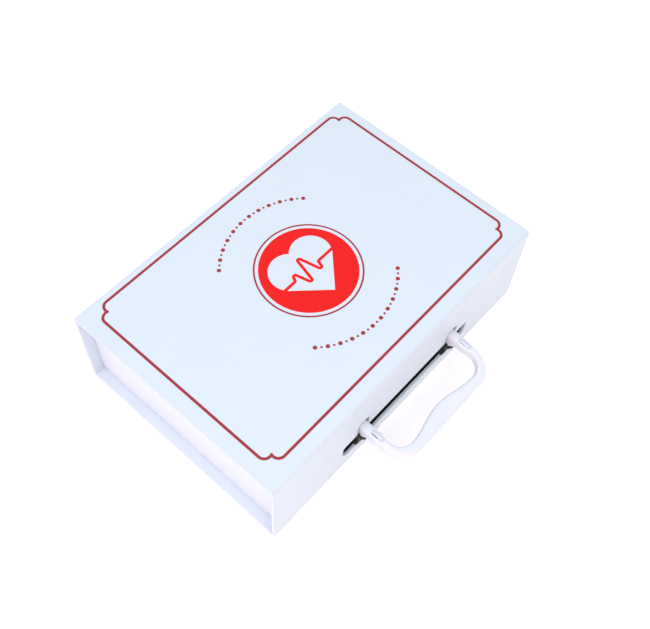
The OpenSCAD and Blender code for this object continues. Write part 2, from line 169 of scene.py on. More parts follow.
# ---------------------------------------------------------------- covered boards
def board_loop(xs, t0, t1, r, quarter=6):
    """Section of a covered board, x along it and t through it, as two arrays: the centre
    each point is rounded about, and the direction it lies in. A point inset by o is at
    centre + (r - o) * direction, which rounds all four corners with r."""
    x0, x1 = xs[0], xs[-1]
    up, down = np.array([0.0, 1.0]), np.array([0.0, -1.0])
    centre, way = [], []

    def row(x, t, d):
        centre.append(np.stack([x, np.full(len(x), t)], 1))
        way.append(np.tile(d, (len(x), 1)))

    def corner(x, t, a0, a1, first=1):
        d = arc(a0, a1, quarter)[first:]
        centre.append(np.tile([x, t], (len(d), 1)))
        way.append(d)

    row(xs, t1 - r, up)
    corner(x1, t1 - r, 90, 0)
    corner(x1, t0 + r, 0, -90, 0)
    row(xs[::-1][1:], t0 + r, down)
    corner(x0, t0 + r, -90, -180)
    corner(x0, t1 - r, 180, 90, 0)
    return np.concatenate(centre)[:-1], np.concatenate(way)[:-1]


def carry_board(loop, r, path):
    """Carries a board's section along path. Each station is the inner face's point (y, z),
    the angle of the outward direction and the inset o: a point (x, t) of the inset section
    goes to x, inner point + t * outward."""
    centre, way = loop
    inner, angle, inset = (np.array(a, float) for a in zip(*path))
    section = centre[None] + (r - inset)[:, None, None] * way[None]
    out = np.stack([np.cos(np.radians(angle)), np.sin(np.radians(angle))], 1)
    yz = inner[:, None, :] + section[:, :, 1:] * out[:, None, :]
    return np.concatenate([section[:, :, :1], yz], 2)


def crease(corner, a0, a1, n=14):
    """Path round half a crease, about the boards' inner corner."""
    return [(corner, a, 0.0) for a in np.linspace(a0, a1, n + 1)]


def straight(p0, p1, angle, step=6.0):
    """Path straight from p0 to p1, without its ends."""
    p0, p1 = np.array(p0, float), np.array(p1, float)
    length = np.linalg.norm(p1 - p0)
    s = spread(0.0, length, step)[1:-1] / length
    return [(tuple(p0 + k * (p1 - p0)), angle, 0.0) for k in s]


def free_end(p, toward, angle, r, n=6):
    """Path round a free edge at p, from its flat end in the direction toward."""
    p, toward = np.array(p, float), np.array(toward, float)
    a = np.radians(np.linspace(0, 90, n + 1))
    return [(tuple(p + toward * r * (1 - math.cos(k))), angle, r * (1 - math.sin(k)))
            for k in a]


def covered_board(name, path, body, stands_for, finish):
    """A board in its covering paper: its section carried along path, closed at both ends."""
    xs = spread(-CASE_HALF_L + EDGE_R, CASE_HALF_L - EDGE_R, 8.0)
    points = carry_board(board_loop(xs, PROUD, PANEL_T, EDGE_R), EDGE_R, path)
    return make_piece(name, [grid_part(points, round_cols=True, caps=(0, -1))], body, finish,
                      stands_for)


# ---------------------------------------------------------------- flap
def slot_edge():
    """The slot's outline and its partners on the flap's outline, as arrays: each point, the
    direction into the board there, the partner point and its inset direction. Every piece
    of the outline is a line or an arc, and its partners are evenly spaced on the flap's
    outline, from the mark where the last piece's end to its own. The left half is the
    right half mirrored."""
    bar = SLOT_Z + SLOT_H
    top = bar + SLOT_RISE
    f, c, low = SLOT_FILLET_R, SLOT_TOP_R, SLOT_LOW_R
    right = CASE_HALF_L - SHIFT
    z1, z0 = LID_Z, FLAP_LIFT
    pieces, marks = [], [np.array([0.0, z1])]

    def add(points, normals, mark):
        marks.append(np.array(mark))
        t = np.linspace(0, 1, len(points))[:, None]
        pieces.append((points, normals, marks[-2] + t * (marks[-1] - marks[-2])))

    def line(p0, p1, normal, mark, n):
        t = np.linspace(0, 1, n + 1)[:, None]
        add(np.array(p0) + t * (np.array(p1) - np.array(p0)), np.tile(normal, (n + 1, 1)), mark)

    def bend(centre, r, a0, a1, sense, mark, n):
        d = arc(a0, a1, n)
        add(np.array(centre) + r * d, sense * d, mark)

    line((0, bar), (LOBE_IN - f, bar), (0, 1), (33, z1), 12)
    bend((LOBE_IN - f, bar + f), f, -90, 0, -1, (38, z1), 8)
    line((LOBE_IN, bar + f), (LOBE_IN, top - c), (-1, 0), (42.5, z1), 5)
    bend((LOBE_IN + c, top - c), c, 180, 90, 1, (50.5, z1), 8)
    line((LOBE_IN + c, top), (LOBE_OUT - c, top), (0, 1), (57, z1), 3)
    bend((LOBE_OUT - c, top - c), c, 90, 0, 1, (63, z1), 8)
    line((LOBE_OUT, top - c), (LOBE_OUT, bar + f), (1, 0), (76, z1), 5)
    bend((LOBE_OUT + f, bar + f), f, 180, 270, -1, (90, z1), 8)
    line((LOBE_OUT + f, bar), (SLOT_HALF - c, bar), (0, 1), (118, z1), 5)
    bend((SLOT_HALF - c, bar - c), c, 90, 45, 1, (right, z1), 4)
    bend((SLOT_HALF - c, bar - c), c, 45, 0, 1, (right, 62), 4)
    line((SLOT_HALF, bar - c), (SLOT_HALF, SLOT_Z + low), (1, 0), (right, 26), 4)
    bend((SLOT_HALF - low, SLOT_Z + low), low, 0, -45, 1, (right, z0), 8)
    bend((SLOT_HALF - low, SLOT_Z + low), low, -45, -90, 1, (110, z0), 8)
    line((SLOT_HALF - low, SLOT_Z), (0, SLOT_Z), (0, -1), (0, z0), 20)

    # The half goes from the top middle down to the bottom middle, and the mirrored half
    # comes back up
    p, n, q = (np.concatenate([piece[k][:-1] for piece in pieces]) for k in range(3))
    p, n, q = (np.concatenate([half, [bottom], half[:0:-1] * (-1.0, 1.0)])
               for half, bottom in ((p, (0.0, SLOT_Z)), (n, (0.0, -1.0)), (q, (0.0, z0))))
    # The slot sits off the flap's middle, so the partners' left half is stretched
    p[:, 0] += SHIFT
    left = np.maximum(q[:, 0] * (CASE_HALF_L + SHIFT) / right + SHIFT, -CASE_HALF_L)
    q[:, 0] = np.where(q[:, 0] < 0, left, q[:, 0] + SHIFT)
    inset = np.zeros_like(q)
    inset[:, 0] -= np.isclose(q[:, 0], CASE_HALF_L)
    inset[:, 0] += np.isclose(q[:, 0], -CASE_HALF_L)
    inset[:, 1] += np.isclose(q[:, 1], z0)
    return p, n, q, inset


def edge_profile(t0, t1, r, n=6):
    """Profile over a board's edge from its outer face at t1 to its inner face at t0: the
    inset from the edge, and t. Both corners are quarter circles of radius r."""
    a = np.radians(np.linspace(0, 90, n + 1))
    inset = np.concatenate([r * (1 - np.sin(a)), r * (1 - np.cos(a))])
    t = np.concatenate([t1 - r * (1 - np.cos(a)), t0 + r * (1 - np.sin(a))])
    return inset, t


def make_flap(finish):
    """The flap: both faces are ruled from the slot's outline to the flap's, the edges are
    rounded strips along these outlines, and the top runs into the crease."""
    p, n, q, inset = slot_edge()
    on_top = np.isclose(q[:, 1], LID_Z)
    fringe = inset.copy()
    fringe[on_top] += (0, -1)
    slot_rim, flap_rim = p + n * SLOT_EDGE_R, q + inset * EDGE_R
    parts = []

    def upright(rows, t):
        """Rows of (x, z) points, set up at t through the flap."""
        y = np.broadcast_to(-CREASE_Y - t, rows.shape[:2])
        return np.stack([rows[..., 0], y, rows[..., 1]], 2)

    for t in (PANEL_T, PROUD):
        a, b = p + n * (SLOT_EDGE_R + SLOT_EDGE_ROW), flap_rim + fringe * EDGE_ROW
        s = np.linspace(0, 1, 9)[:, None, None]
        rows = np.concatenate([slot_rim[None], a + s * (b - a), flap_rim[None]])
        parts.append(grid_part(upright(rows, t), round_cols=True))
    o, t = edge_profile(PROUD, PANEL_T, SLOT_EDGE_R)
    slot_strip = p[:, None] + n[:, None] * o[None, :, None]
    parts.append(grid_part(upright(slot_strip, t), round_rows=True))
    # The flap's own edge: from one upper corner down, along the bottom and up to the other
    ends = np.flatnonzero(on_top & (np.abs(q[:, 0]) > CASE_HALF_L - TINY))
    o, t = edge_profile(PROUD, PANEL_T, EDGE_R)
    flap_strip = q[:, None] + inset[:, None] * o[None, :, None]
    parts.append(grid_part(upright(flap_strip, t)[ends.min():ends.max() + 1]))
    xs = np.sort(np.clip(q[on_top][:, 0], -CASE_HALF_L + EDGE_R, CASE_HALF_L - EDGE_R))
    loop = board_loop(xs, PROUD, PANEL_T, EDGE_R)
    path = crease((-CREASE_Y, LID_Z), 135, 180)
    parts.append(grid_part(carry_board(loop, EDGE_R, path), round_cols=True, caps=(0,)))
    return make_piece("flap_cover", parts, "flap", finish, ("flap_wrap",))


# ---------------------------------------------------------------- tray
def window_edge(across, down, quarter=5):
    """The window's outline in the wall, one side after another from its upper right corner.
    Each side has as many steps as the wall's own side: half a corner, a straight and half
    a corner."""
    r = WINDOW_R + PAPER_T
    reach = WINDOW_HALF + PAPER_T - r
    low, high = WINDOW_Z - PAPER_T + r, WINDOW_Z + WINDOW_H + PAPER_T - r
    points = []
    for cx, cz, a, steps, step, span in (
            (reach, high, 90, down, (0, -1), high - low),
            (reach, low, 0, across, (-1, 0), 2 * reach),
            (-reach, low, -90, down, (0, 1), high - low),
            (-reach, high, -180, across, (1, 0), 2 * reach)):
        corner, step = np.array([cx, cz]), np.array(step, float)
        first = arc(a - 45, a - 90, quarter)
        last = arc(a - 90, a - 135, quarter)[:-1]
        t = np.linspace(0, span, steps - 2 * quarter + 1)[1:-1, None]
        points += [corner + r * first, corner + r * first[-1] + t * step,
                   corner + span * step + r * last]
    p = np.concatenate(points)
    p[:, 0] += SHIFT
    return p


def wall_section(r):
    """The tray's wall section: n in from the outside, and z. It goes up the outside, over
    the rounded rim, down to the lining's edge, down behind the lining and back below.
    Also the two bands of the section that are the wall's outer and inner face."""
    a = np.radians(np.linspace(0, 90, 7))
    z_out = spread(TRAY_Z0 + EDGE_ROW, TRAY_Z1 - r, 3.2)
    z_in = np.linspace(TRAY_Z0 + EDGE_ROW, RIM_Z - EDGE_ROW, len(z_out))
    rim_n = WALL_T + PAPER_T + PROUD
    thin = WALL_T - PROUD
    n = np.concatenate([np.zeros(len(z_out)), r * (1 - np.cos(a[1:])),
                        rim_n - r * (1 - np.sin(a)), [rim_n, rim_n, rim_n - 0.03, thin],
                        np.full(len(z_in), thin), [thin - PAPER_T, PAPER_T]])
    z = np.concatenate([z_out, TRAY_Z1 - r + r * np.sin(a[1:]),
                        TRAY_Z1 - r * (1 - np.cos(a)),
                        [TRAY_Z1 - r - 0.4, RIM_Z + 0.1, RIM_Z, RIM_Z],
                        z_in[::-1], [TRAY_Z0, TRAY_Z0]])
    start_in = len(n) - 2 - len(z_in)
    return n, z, (slice(0, len(z_out)), slice(start_in, start_in + len(z_in)))


def make_tray(finish):
    """The tray's covering paper round its boards: a wall section carried round a rectangle
    with rounded outer corners. A point n in from the outside lies at outline - n * outward
    on the straight walls, and in a corner at centre + (r - n) * outward until n passes r,
    and beyond that on the corner's diagonal. The front wall's faces are ruled to the
    window's outline."""
    n, z, bands = wall_section(EDGE_R)
    r = TRAY_R
    xs = spread(-TRAY_X + r, TRAY_X - r, 4.0)
    ys = spread(TRAY_Y0 + r, TRAY_Y1 - r, 8.0)
    base, out, bent = [], [], []

    def wall(x, y, way):
        p = np.stack(np.broadcast_arrays(x, y), 1)
        base.append(p)
        out.append(np.tile(way, (len(p), 1)))
        bent.append(np.zeros(len(p), bool))

    def corner(cx, cy, a0):
        d = arc(a0, a0 + 90, 8)[1:-1]
        base.append(np.tile([cx, cy], (len(d), 1)))
        out.append(d)
        bent.append(np.ones(len(d), bool))

    wall(xs, TRAY_Y0, (0, -1))
    corner(TRAY_X - r, TRAY_Y0 + r, -90)
    wall(TRAY_X, ys, (1, 0))
    corner(TRAY_X - r, TRAY_Y1 - r, 0)
    wall(xs[::-1], TRAY_Y1, (0, 1))
    corner(-TRAY_X + r, TRAY_Y1 - r, 90)
    wall(-TRAY_X, ys[::-1], (-1, 0))
    corner(-TRAY_X + r, TRAY_Y0 + r, 180)
    base, out, bent = (np.concatenate(k) for k in (base, out, bent))
    reach = np.where(bent[:, None], np.maximum(r - n, 0.0), -n)
    beyond = np.where(bent[:, None], np.maximum(n - r, 0.0), 0.0)
    xy = (base[:, None] + reach[..., None] * out[:, None]
          - beyond[..., None] * np.sign(base)[:, None])
    # Inside, the straight walls end on the corners' diagonals
    xy = np.clip(xy, np.stack([-TRAY_X + n, TRAY_Y0 + n], 1),
                 np.stack([TRAY_X - n, TRAY_Y1 - n], 1))
    points = np.concatenate([xy, np.broadcast_to(z, xy.shape[:2])[..., None]], 2)

    faces = grid_faces(len(base), len(n), True, True)
    station, ring = faces[:, 0] // len(n), faces[:, 0] % len(n)
    keep = np.ones(len(faces), bool)
    parts, rims = [], []
    for band in bands:
        keep &= ~((station < len(xs) - 1) & (ring >= band.start) & (ring < band.stop - 1))
        grid = points[:len(xs), band]
        if grid[0, 0, 2] > grid[0, -1, 2]:
            grid = grid[:, ::-1]
        # Round the wall's face from its upper right corner
        border = np.concatenate([grid[-1, :0:-1], grid[:0:-1, 0], grid[0, :-1], grid[:-1, -1]])
        p = window_edge(grid.shape[0] - 1, grid.shape[1] - 1)
        rim = np.stack([p[:, 0], np.full(len(p), border[0, 1]), p[:, 1]], 1)
        s = np.linspace(0, 1, 5)[:, None, None]
        parts.append(grid_part(rim + s * (border - rim), round_cols=True))
        rims.append(rim)
    parts.append((points.reshape(-1, 3), faces[keep].tolist()))
    parts.append(grid_part(np.stack(rims), round_cols=True))
    return make_piece("tray_cover", parts, "case", finish, ("tray_wrap",))


# ---------------------------------------------------------------- handle
def on_handle(u, v, w):
    """From the handle's own u, v, w to the frame: v runs outward from the pins and hangs
    DROOP below level, and w is square to it."""
    c, s = math.cos(DROOP), math.sin(DROOP)
    return np.stack(np.broadcast_arrays(SHIFT + u, PIN_Y - v * c - w * s,
                                        PIN_Z - v * s + w * c), -1)


def ease(t):
    """3t^2 - 2t^3 between 0 and 1."""
    t = np.clip(t, 0, 1)
    return t * t * (3 - 2 * t)


def handle_stations():
    """Stations of half the handle, from a foot to the middle of the grip, as rows of u, v,
    heading, width and thickness. The leg narrows by ease from FOOT_V, the bend is a
    quarter circle, and the grip widens inwards by ease."""
    # The stations are close over the pocket and the slit
    fine = np.concatenate([np.arange(6.6, 8.0, 0.14), np.linspace(SLIT_V0, SLIT_V1, 38),
                           np.arange(13.65, 18.5, 0.15)])
    v = np.concatenate([np.linspace(LEG_V0, 6.4, 9), fine, np.linspace(18.8, LEG_V, 8)[:-1]])
    leg = np.stack([np.full(len(v), LEG_U), v, np.full(len(v), 90.0),
                    FOOT_W + (LEG_W - FOOT_W) * ease((v - FOOT_V) / (LEG_V - FOOT_V)),
                    np.full(len(v), LEG_T)], 1)
    t = np.linspace(0, 1, 27)[:-1]
    a = np.radians(90 * t)
    bend = np.stack([LEG_U - BEND_R * (1 - np.cos(a)), LEG_V + BEND_R * np.sin(a), 90 + 90 * t,
                     LEG_W + (GRIP_END_W - LEG_W) * t, np.full(len(t), LEG_T)], 1)
    t = np.linspace(0, 1, 25)
    w = GRIP_END_W + (GRIP_W - GRIP_END_W) * ease(t)
    grip = np.stack([(LEG_U - BEND_R) * (1 - t), REACH - w / 2, np.full(len(t), 180.0), w,
                     LEG_T + (GRIP_T - LEG_T) * ease(t)], 1)
    return np.concatenate([leg, bend, grip])


def bow_section():
    """The bow's section with unit half width and height: a superellipse |x|^p + |y|^p = 1.
    Over the middle its points are evenly spaced, with one on each side of both slits. Also
    the number of points on its upper side, which come first."""
    middle = 0.6
    slit = np.array([SLIT_U0, SLIT_U1]) / (FOOT_W / 2)
    marks = np.concatenate([slit, -slit])
    core = np.linspace(-middle, middle, 35)
    near = np.abs(core[:, None] - marks).min(1) < 0.02
    core = np.sort(np.concatenate([core[~near], marks]))[::-1]
    side = np.cos(np.linspace(0, math.acos(middle ** (SECTION_POWER / 2)), 14)[:-1])
    side = side ** (2 / SECTION_POWER)
    across = np.concatenate([side, core, -side[::-1]])
    lift = (1 - np.abs(across) ** SECTION_POWER) ** (1 / SECTION_POWER)
    top = len(across)
    return (np.concatenate([across, across[-2:0:-1]]),
            np.concatenate([lift, -lift[-2:0:-1]]), top)


def handle_bow():
    """The bow: its section, scaled to each station's width and thickness and carried along
    the stations. Over each leg the upper side sinks to the pocket's floor where a rounded
    rectangle's distance is below 0, with a sloping wall, and a slit goes from that floor
    through the underside."""
    half = handle_stations()
    back = half[-2::-1] * (-1, 1, 1, 1, 1)
    back[:, 2] = 360 - back[:, 2]
    u, v, heading, width, thick = np.concatenate([half, back]).T
    # The ends are rounded: the section is inset by r(1 - sin a) over the last r of the leg
    r, a = 1.0, np.radians(np.linspace(0, 80, 7))
    end_v, end_in = LEG_V0 + r * (1 - np.cos(a)), r * (1 - np.sin(a))
    u = np.concatenate([np.full(7, LEG_U), u[2:-2], np.full(7, -LEG_U)])
    v = np.concatenate([end_v, v[2:-2], end_v[::-1]])
    inset = np.concatenate([end_in, np.zeros(len(width) - 4), end_in[::-1]])
    heading, width, thick = (np.concatenate([np.full(7, k[0]), k[2:-2], np.full(7, k[-1])])
                             for k in (heading, width, thick))
    width, thick = width - 2 * inset, thick - 2 * inset

    across, lift, top = bow_section()
    h = np.radians(heading)[:, None]
    off = width[:, None] / 2 * across
    pu, pv = u[:, None] + off * np.sin(h), v[:, None] - off * np.cos(h)
    pw = LEG_RISE + thick[:, None] / 2 * lift
    # The moulded pockets
    du = np.abs(np.abs(pu) - LEG_U) - POCKET_HALF + POCKET_CORNER
    dv = (np.abs(pv - (POCKET_V0 + POCKET_V1) / 2) - (POCKET_V1 - POCKET_V0) / 2
          + POCKET_CORNER)
    away = (np.hypot(np.maximum(du, 0), np.maximum(dv, 0))
            + np.minimum(np.maximum(du, dv), 0) - POCKET_CORNER)
    sink = ease(-away / POCKET_WALL + 0.15) * (lift > 0)
    pw = pw + sink * (LEG_RISE + LEG_T / 2 - POCKET_DEEP - pw)
    points = on_handle(pu, pv, pw)

    rows, ring = pw.shape
    faces = grid_faces(rows, ring, False, True)
    i, j = faces[:, 0] // ring, faces[:, 0] % ring
    keep = np.ones(len(faces), bool)
    walls = []
    # The slits: their quads go from both sides of the leg, and walls join the two holes
    for leg in (1, -1):
        over = (np.abs(u - leg * LEG_U) < TINY) & (v > SLIT_V0 - TINY) & (v < SLIT_V1 + TINY)
        s0, s1 = np.flatnonzero(over)[[0, -1]]
        lo, hi = sorted(leg * k / (FOOT_W / 2) for k in (SLIT_U0, SLIT_U1))
        c0, c1 = np.flatnonzero((across[:top] > lo - TINY) & (across[:top] < hi + TINY))[[0, -1]]
        b0, b1 = (ring - c1) % ring, (ring - c0) % ring
        keep &= ~((i >= s0) & (i < s1) & (((j >= c0) & (j < c1)) | ((j >= b0) & (j < b1))))
        s, c = np.arange(s0, s1), np.arange(c0, c1)
        row = np.concatenate([s, np.full(len(c), s1), s[::-1] + 1, np.full(len(c), s0)])
        col = np.concatenate([np.full(len(s), c0), c, np.full(len(s), c1), c[::-1] + 1])
        upper, lower = row * ring + col, row * ring + (ring - col) % ring
        walls += np.stack([upper, np.roll(upper, -1), np.roll(lower, -1), lower], 1).tolist()
    caps = [list(range(ring)), list(range((rows - 1) * ring, rows * ring))]
    return points.reshape(-1, 3), faces[keep].tolist() + walls + caps


def handle_foot(side):
    """A foot: its outline in v and w is a circle about the pin and straight lines up into
    the leg. Both faces are ruled from the bore to the outline, whose edges are rounded."""
    half, r = KNUCKLE_HALF, KNUCKLE_EDGE_R
    low = KNUCKLE_R * arc(0, -180, 24)
    corners = np.array([low[-1], (-2.55, 0.5), (LEG_V0 + 0.35, 12.6), (5.0, 11.0), (7.0, 5.2),
                        (2.75, 0.18)])
    runs = [p + np.linspace(0, 1, n + 1)[1:, None] * (q - p)
            for p, q, n in zip(corners[:-1], corners[1:], (1, 8, 4, 4, 6))]
    outline = np.concatenate([low, *runs])
    step = np.roll(outline, -1, 0) - np.roll(outline, 1, 0)
    inward = np.stack([step[:, 1], -step[:, 0]], 1)
    inward /= np.linalg.norm(inward, axis=1, keepdims=True)
    inward *= np.sign((inward * (np.array([2.0, 6.0]) - outline)).sum(1)).mean()
    bore = outline / np.linalg.norm(outline, axis=1, keepdims=True) * BORE_R
    a = np.radians(np.linspace(0, 90, 6))
    inset = np.concatenate([r * (1 - np.sin(a)), r * (1 - np.cos(a))])
    x = np.concatenate([half - r * (1 - np.cos(a)), -half + r * (1 - np.sin(a))])
    strip = outline[None] + inset[:, None, None] * inward[None]
    s = np.linspace(0, 1, 5)[:-1, None, None]
    face = bore + s * (strip[0] - bore)
    vw = np.concatenate([face, strip, face[::-1], bore[None]])
    xs = np.concatenate([np.full(len(face), half), x, np.full(len(face), -half), [half]])
    points = on_handle(side * LEG_U + xs[:, None], vw[..., 0], vw[..., 1])
    return grid_part(points, round_cols=True)


def make_handle(finish):
    """The moulded handle: the bow and its two feet."""
    return make_piece("handle_moulding", [handle_bow(), handle_foot(-1), handle_foot(1)],
                      "handle", finish, ("handle_bow",), smooth=50)


# ---------------------------------------------------------------- print on the lid
def ring_xy(r, n, centre):
    """n points evenly round a circle."""
    return centre + r * arc(0, 360, n)[:-1]


def ink_band(path, width, closed=True, low=INK_LOW, high=INK_T):
    """A printed line: a flat section, width across, carried along path. At a bend between
    unit normals m and n its sides lie at (m + n) / (1 + m.n) times half the width."""
    step = np.roll(path, -1, 0) - path
    if not closed:
        step[-1] = step[-2]
    after = np.stack([step[:, 1], -step[:, 0]], 1) / np.linalg.norm(step, axis=1, keepdims=True)
    before = np.roll(after, 1, 0)
    if not closed:
        before[0] = after[0]
    side = (before + after) / (1 + (before * after).sum(1, keepdims=True))
    off = np.array([-0.5, -0.5, 0.5, 0.5]) * width
    z = np.array([low, high, high, low]) + CASE_H
    xy = path[:, None] + off[None, :, None] * side[:, None]
    points = np.concatenate([xy, np.broadcast_to(z, xy.shape[:2])[..., None]], 2)
    return grid_part(points, round_rows=closed, round_cols=True, caps=() if closed else (0, -1))


def ink_field(inner, outer):
    """A printed area ruled between two outlines with the same number of points."""
    z = np.array([INK_LOW, INK_T, INK_T, INK_LOW]) + CASE_H
    xy = np.stack([inner, inner, outer, outer])
    points = np.concatenate([xy, np.broadcast_to(z[:, None], xy.shape[:2])[..., None]], 2)
    return grid_part(points, round_rows=True, round_cols=True)


def ink_dot(r, centre):
    """A printed dot: a flat disc with 24 corners."""
    xy = ring_xy(r, 24, centre)
    z = np.array([INK_LOW, INK_T]) + CASE_H
    points = np.stack([np.column_stack([xy, np.full(len(xy), k)]) for k in z])
    return grid_part(points, round_cols=True, caps=(0, -1))


def rounded(corners, r, n=10):
    """A line through corners, each bend an arc of radius r that touches both its sides."""
    back, on = (np.diff(corners, axis=0)[:-1], np.diff(corners, axis=0)[1:])
    back, on = (k / np.linalg.norm(k, axis=1, keepdims=True) for k in (back, on))
    turn = np.arctan2(back[:, 0] * on[:, 1] - back[:, 1] * on[:, 0], (back * on).sum(1))
    side = np.sign(turn)[:, None] * np.stack([-back[:, 1], back[:, 0]], 1)
    start = corners[1:-1] - back * (r * np.tan(np.abs(turn) / 2))[:, None]
    a = np.linspace(0, 1, n + 1)[None, :, None] * np.abs(turn)[:, None, None]
    bends = start[:, None] + r * (back[:, None] * np.sin(a) + side[:, None] * (1 - np.cos(a)))
    return np.concatenate([corners[:1], bends.reshape(-1, 2), corners[-1:]])


def border_line(grow):
    """The border's outline, grow outside its middle line: straight sides and, at each
    corner, two round shoulders that meet in an inward point. A shoulder is a circle of
    radius r + grow about (r, h). Outside the line it runs to the corner's diagonal, at the
    angle -135 - asin((r - h) / (sqrt 2 (r + grow))) degrees. Inside, it leaves at the middle
    line's angle by a tangent that stops short of the diagonal, so the point is blunt."""
    r, h = SHOULDER_R, SHOULDER_H
    end = -135 - math.degrees(math.asin((r - h) / math.sqrt(2) / (r + max(grow, 0.0))))
    first = np.array([r, h]) + (r + grow) * arc(-180, end, 14)
    c, s = math.cos(math.radians(end)), math.sin(math.radians(end))
    to_diagonal = (first[-1, 0] - first[-1, 1]) / (c + s)
    first = np.vstack([first, first[-1] + NOTCH_REACH * to_diagonal * np.array([-s, c])])
    shoulder = np.concatenate([first, first[::-1, ::-1]])
    corners = []
    for sx, sy in ((1, 1), (-1, 1), (-1, -1), (1, -1)):
        base = np.array([BORDER_X[0 if sx > 0 else 1], BORDER_Y[0 if sy > 0 else 1]])
        p = base + shoulder * (sx, sy)
        corners.append(p if sx * sy > 0 else p[::-1])
    return np.concatenate(corners)


def heart(side, n=40):
    """A heart's right half about its middle, then its left half mirrored: a square of that
    side stood on a corner, with a half circle over each of its upper sides."""
    k = side / math.sqrt(2)
    t = np.linspace(0, 1, n)[:-1, None]
    flank = np.array([0, -k]) + t * np.array([k, k])
    lobe = np.array([k, k]) / 2 + side / 2 * arc(-45, 135, 2 * n)
    right = np.concatenate([flank, lobe])
    return np.concatenate([right, right[-2:0:-1] * (-1, 1)])


def make_roundel(finish):
    """The roundel: a red field round a white heart, and a pulse line across the heart."""
    inner = heart(HEART_SIDE) - (0, HEART_DROP)
    rim = ROUNDEL_R * inner / np.linalg.norm(inner, axis=1, keepdims=True)
    # The pulse line starts and ends inside the red, a little below its face
    pulse = np.array([[-34, 3], [-15, 3], [-11.5, 10], [-6, -10], [1, 20], [7.5, -7], [10.5, 3],
                      [34, 3]], float)
    pulse = MARK + rounded(pulse, PULSE_BEND_R) - (0, HEART_DROP)
    parts = [ink_field(MARK + inner, MARK + rim),
             ink_band(pulse, PULSE_W, False, INK_LOW + 0.005, INK_T - 0.01)]
    return make_piece("lid_roundel", parts, "lid", finish, ())


def make_line_print(finish):
    """The deeper red print: a bordering line, a thin ring round the roundel and two arcs of
    dots."""
    parts = [ink_field(border_line(-BORDER_W / 2), border_line(BORDER_W / 2)),
             ink_band(ring_xy(RING_R, 192, MARK), RING_W)]
    for k, a in enumerate(np.linspace(-DOTS_SPAN, DOTS_SPAN, DOTS)):
        for way in (90, -90):
            place = MARK + DOTS_AT_R * arc(way + a, way + a, 0)[0]
            parts.append(ink_dot(DOT_RADII[k % 2], place))
    return make_piece("lid_line_print", parts, "lid", finish, ())


# ---------------------------------------------------------------- shader helpers
FLOAT, VECTOR = "NodeSocketFloat", "NodeSocketVector"


def new_tree(name, ins, outs):
    """A shader node group with named inputs and outputs: the group, the place that its
    patterns are laid by, its other inputs, and the sockets that it puts out."""
    tree = bpy.data.node_groups.new(name, "ShaderNodeTree")
    tree.interface.new_socket("Place mm", in_out="INPUT", socket_type=VECTOR)
    for label, value in ins.items():
        socket = tree.interface.new_socket(label, in_out="INPUT", socket_type=FLOAT)
        socket.default_value = value
    for label in outs:
        tree.interface.new_socket(label, in_out="OUTPUT", socket_type=FLOAT)
    given, put_out = tree.nodes.new("NodeGroupInput"), tree.nodes.new("NodeGroupOutput")
    return tree, given.outputs[0], given.outputs, put_out.inputs


def feed(tree, socket, value):
    """Links a socket, or a number or colour, to an input."""
    if isinstance(value, bpy.types.NodeSocket):
        tree.links.new(value, socket)
    elif socket.type == "RGBA":
        socket.default_value = (*value, 1)
    else:
        socket.default_value = value


def put(tree, kind, inputs=None, **settings):
    """Adds a node, with settings on it and values or sockets on its inputs."""
    n = tree.nodes.new(kind)
    for key, value in settings.items():
        setattr(n, key, value)
    for key, value in (inputs or {}).items():
        feed(tree, n.inputs[key], value)
    return n


def use(tree, group, inputs):
    """Places a node group, with values or sockets on its inputs, and gives its outputs."""
    return put(tree, "ShaderNodeGroup", inputs, node_tree=group).outputs


def maths(tree, op, a, b=0.0, clamp=False):
    """A value worked out from two."""
    return put(tree, "ShaderNodeMath", {0: a, 1: b}, operation=op, use_clamp=clamp).outputs[0]


def noise(tree, place, scale, detail, **more):
    """A noise pattern's value."""
    inputs = {"Vector": place, "Scale": scale, "Detail": detail, **more}
    return put(tree, "ShaderNodeTexNoise", inputs).outputs[0]


def between(tree, value, low, high):
    """0 to 1 as value goes from low to high."""
    inputs = {"Value": value, "From Min": low, "From Max": high}
    return put(tree, "ShaderNodeMapRange", inputs).outputs[0]


def mixed(tree, mask, a, b):
    """Colour a, turning to b where mask is 1."""
    n = put(tree, "ShaderNodeMix", {"Factor": mask}, data_type="RGBA")
    feed(tree, n.inputs[6], a)
    feed(tree, n.inputs[7], b)
    return n.outputs[2]


def bumped(tree, shader, height, strength, depth_mm):
    """Lets a height that goes depth_mm deep bend the surface's normal."""
    n = put(tree, "ShaderNodeBump",
            {"Height": height, "Strength": strength, "Distance": depth_mm * MM})
    feed(tree, shader.inputs["Normal"], n.outputs[0])


# ---------------------------------------------------------------- shared effects
def make_sheet_grain():
    """Sheet grain: a fine even grain, long fibres laid mostly one way, and slow waves."""
    tree, place, given, out = new_tree(
        "sheet_grain", {"Grain per mm": 2.0, "Fibres": 0.5, "Waves": 0.5}, ("Height", "Tint"))
    laid = put(tree, "ShaderNodeMapping", {"Vector": place, "Rotation": (0.35, 0.2, 0.6),
                                           "Scale": (0.22, 1.3, 1.3)}).outputs[0]
    fine = noise(tree, place, given["Grain per mm"], 3.0, Roughness=0.6)
    fibre = noise(tree, laid, given["Grain per mm"], 2.0, Distortion=0.8)
    wave = noise(tree, place, 0.035, 2.0)
    height = maths(tree, "ADD", fine, maths(tree, "MULTIPLY", fibre, given["Fibres"]))
    height = maths(tree, "ADD", height, maths(tree, "MULTIPLY", wave, given["Waves"]))
    feed(tree, out["Height"], height)
    tint = maths(tree, "ADD", maths(tree, "MULTIPLY", fibre, 0.6),
                 maths(tree, "MULTIPLY", wave, 0.4))
    feed(tree, out["Tint"], between(tree, tint, 0.35, 0.65))
    return tree


